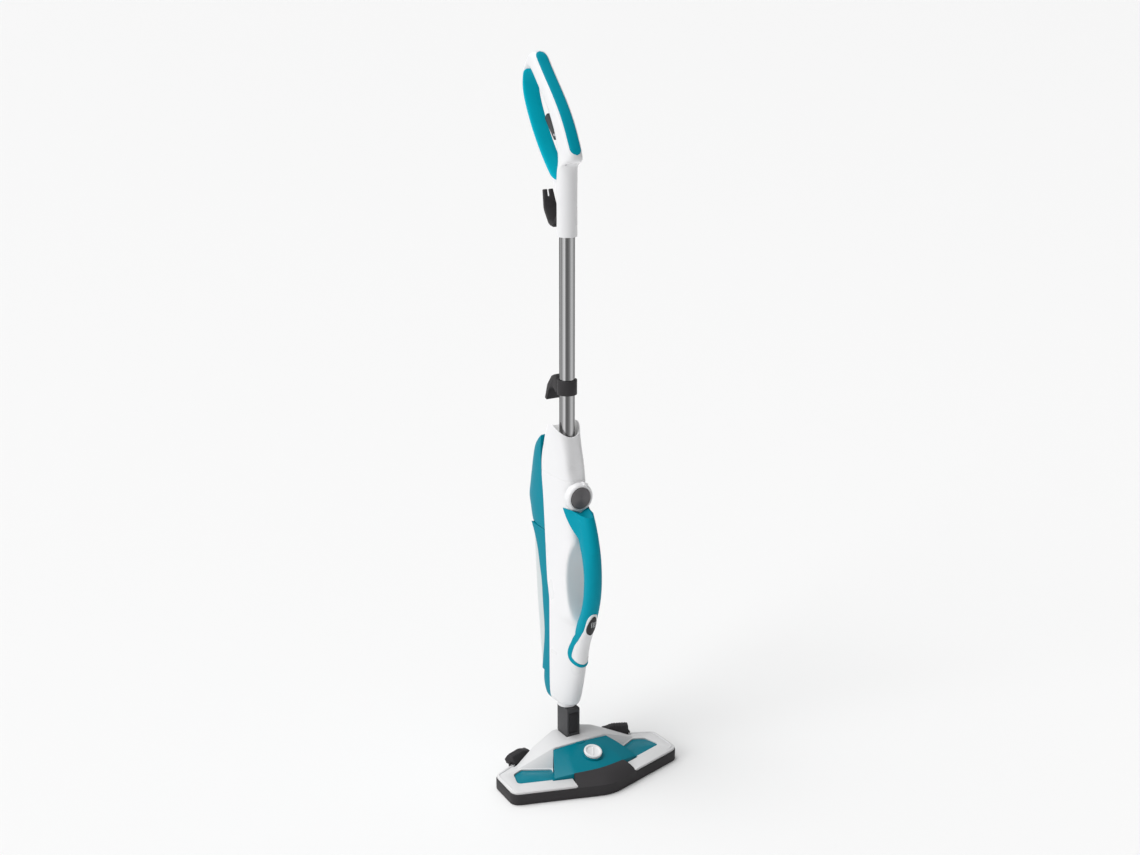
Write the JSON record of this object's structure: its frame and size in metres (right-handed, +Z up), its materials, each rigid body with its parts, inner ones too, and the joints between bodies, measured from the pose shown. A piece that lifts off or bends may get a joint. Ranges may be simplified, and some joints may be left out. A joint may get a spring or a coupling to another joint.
{
  "type": "steam mop",
  "caption": "Upright steam mop: delta floor head on a tilting neck, slim steam unit with curved front grip and rear tank, steel tube and angled loop handle.",
  "frame": {"origin": "on the sole plate underside, straight below the tube axis", "axes": "+Z up along the tube, -Y to the nose of the floor head, +X to the right of the pictured front"},
  "size_m": [0.315, 0.2656, 1.1701],
  "materials": {
    "charcoal": "fine satin",
    "steel": "satin",
    "white_shell": "glossy",
    "teal": "glossy",
    "chrome_tube": "polished tube",
    "cast_metal": "as cast",
    "inner_plastic": "moulded",
    "hose": "silicone",
    "seal": "matt",
    "black_gloss": "glossy",
    "tank": "milky translucent"
  },
  "bodies": {
    "head": {"base_frame": "charcoal", "sole_plate": "steel", "head_cover": "white_shell", "head_panel": "teal", "front_bumper": "charcoal", "steam_distributor": "inner_plastic", "head_screws": "steel", "hinge_bracket": "steel", "tilt_pin": "steel", "pedal_pins": "steel"},
    "pedal_left": {"pedal_left": "charcoal", "pedal_spring_left": "steel"},
    "pedal_right": {"pedal_right": "charcoal", "pedal_spring_right": "steel"},
    "selector_knob": {"selector_knob": "white_shell"},
    "neck": {"neck_block": "charcoal", "neck_seal": "seal"},
    "neck_latch": {"neck_latch_button": "charcoal", "neck_latch_spring": "steel"},
    "body": {"body_front_shell": "white_shell", "body_rear_shell": "teal", "outlet_collar": "white_shell", "grip": "teal", "grip_pad": "white_shell", "knob_bezel": "white_shell", "boiler": "cast_metal", "pump": "cast_metal", "thermostat": "inner_plastic", "tube_socket": "inner_plastic", "cord_gland": "inner_plastic", "water_hose": "hose", "steam_hose": "hose", "trigger_switch": "inner_plastic", "button_switch": "inner_plastic", "body_screws": "steel", "tube": "chrome_tube", "handle_shell_left": "white_shell", "handle_shell_right": "white_shell", "handle_front_grip": "teal", "handle_lining": "teal", "handle_screws": "steel", "trigger_pin": "steel", "hook_pivot_pin": "steel"},
    "steam_knob": {"steam_knob": "charcoal"},
    "steam_button": {"steam_button": "black_gloss", "steam_button_spring": "steel"},
    "water_tank": {"water_tank": "tank"},
    "tank_cap": {"tank_cap": "charcoal", "tank_cap_seal": "seal"},
    "tank_latch": {"tank_latch": "teal", "tank_latch_spring": "steel"},
    "trigger": {"trigger": "black_gloss", "trigger_spring": "steel"},
    "control_rod": {"control_rod": "steel"},
    "upper_cord_hook": {"upper_cord_hook": "charcoal"},
    "lower_cord_clip": {"lower_cord_clip": "charcoal"}
  },
  "joints": [
    {"name": "pedal_left_press", "type": "hinge", "parent": "head", "child": "pedal_left", "pos_m": [-0.092, -0.008, 0.022], "axis": [-0.9272, -0.3746, 0], "range_deg": [0, 12], "stiffness_Nm_per_rad": 1, "springref_deg": -8.59, "deforming": ["pedal_spring_left"]},
    {"name": "pedal_right_press", "type": "hinge", "parent": "head", "child": "pedal_right", "pos_m": [0.092, -0.008, 0.022], "axis": [-0.9272, 0.3746, 0], "range_deg": [0, 12], "stiffness_Nm_per_rad": 1, "springref_deg": -8.59, "deforming": ["pedal_spring_right"]},
    {"name": "selector_turn", "type": "hinge", "parent": "head", "child": "selector_knob", "pos_m": [0.003, -0.08, 0.042], "axis": [0, -0.309, 0.9511], "range_deg": [0, 90]},
    {"name": "neck_tilt", "type": "hinge", "parent": "head", "child": "neck", "pos_m": [0, -0.005, 0.034], "axis": [-1, 0, 0], "range_deg": [0, 70]},
    {"name": "neck_latch_press", "type": "slide", "parent": "neck", "child": "neck_latch", "axis": [0, 1, 0], "range_m": [0, 0.003], "stiffness_N_per_m": 800, "springref_m": -0.002, "deforming": ["neck_latch_spring"]},
    {"name": "body_swivel", "type": "hinge", "parent": "neck", "child": "body", "pos_m": [0, 0, 0.105], "axis": [0, 0, 1], "range_deg": [-60, 60]},
    {"name": "steam_knob_turn", "type": "hinge", "parent": "body", "child": "steam_knob", "pos_m": [0, -0.042, 0.478], "axis": [0, -1, 0], "range_deg": [-135, 135]},
    {"name": "steam_button_press", "type": "slide", "parent": "body", "child": "steam_button", "axis": [0, 0.9537, 0.3007], "range_m": [0, 0.0025], "stiffness_N_per_m": 600, "springref_m": -0.001, "deforming": ["steam_button_spring"]},
    {"name": "tank_pull_off", "type": "slide", "parent": "body", "child": "water_tank", "axis": [0, 1, 0], "range_m": [0, 0.06]},
    {"name": "tank_cap_twist", "type": "hinge", "parent": "water_tank", "child": "tank_cap", "pos_m": [0, 0.082, 0.372], "axis": [0, 1, 0], "range_deg": [0, 90]},
    {"name": "tank_latch_lift", "type": "slide", "parent": "body", "child": "tank_latch", "axis": [0, 0, 1], "range_m": [0, 0.003], "stiffness_N_per_m": 400, "springref_m": -0.002, "deforming": ["tank_latch_spring"]},
    {"name": "trigger_pull", "type": "hinge", "parent": "body", "child": "trigger", "pos_m": [0, 0.02, 1.046], "axis": [1, 0, 0], "range_deg": [0, 10], "stiffness_Nm_per_rad": 1, "springref_deg": -5.73, "deforming": ["trigger_spring"]},
    {"name": "rod_push", "type": "slide", "parent": "body", "child": "control_rod", "axis": [0, 0, -1], "range_m": [0, 0.0044]},
    {"name": "upper_hook_turn", "type": "hinge", "parent": "body", "child": "upper_cord_hook", "pos_m": [0, 0.017, 0.915], "axis": [0, 1, 0], "range_deg": [0, 180]},
    {"name": "lower_clip_turn", "type": "hinge", "parent": "body", "child": "lower_cord_clip", "pos_m": [0, 0, 0.652], "axis": [0, 0, 1], "continuous": true}
  ],
  "couplings": [
    {"joint": "rod_push", "follows": "trigger_pull", "m_per_rad": 0.025}
  ]
}
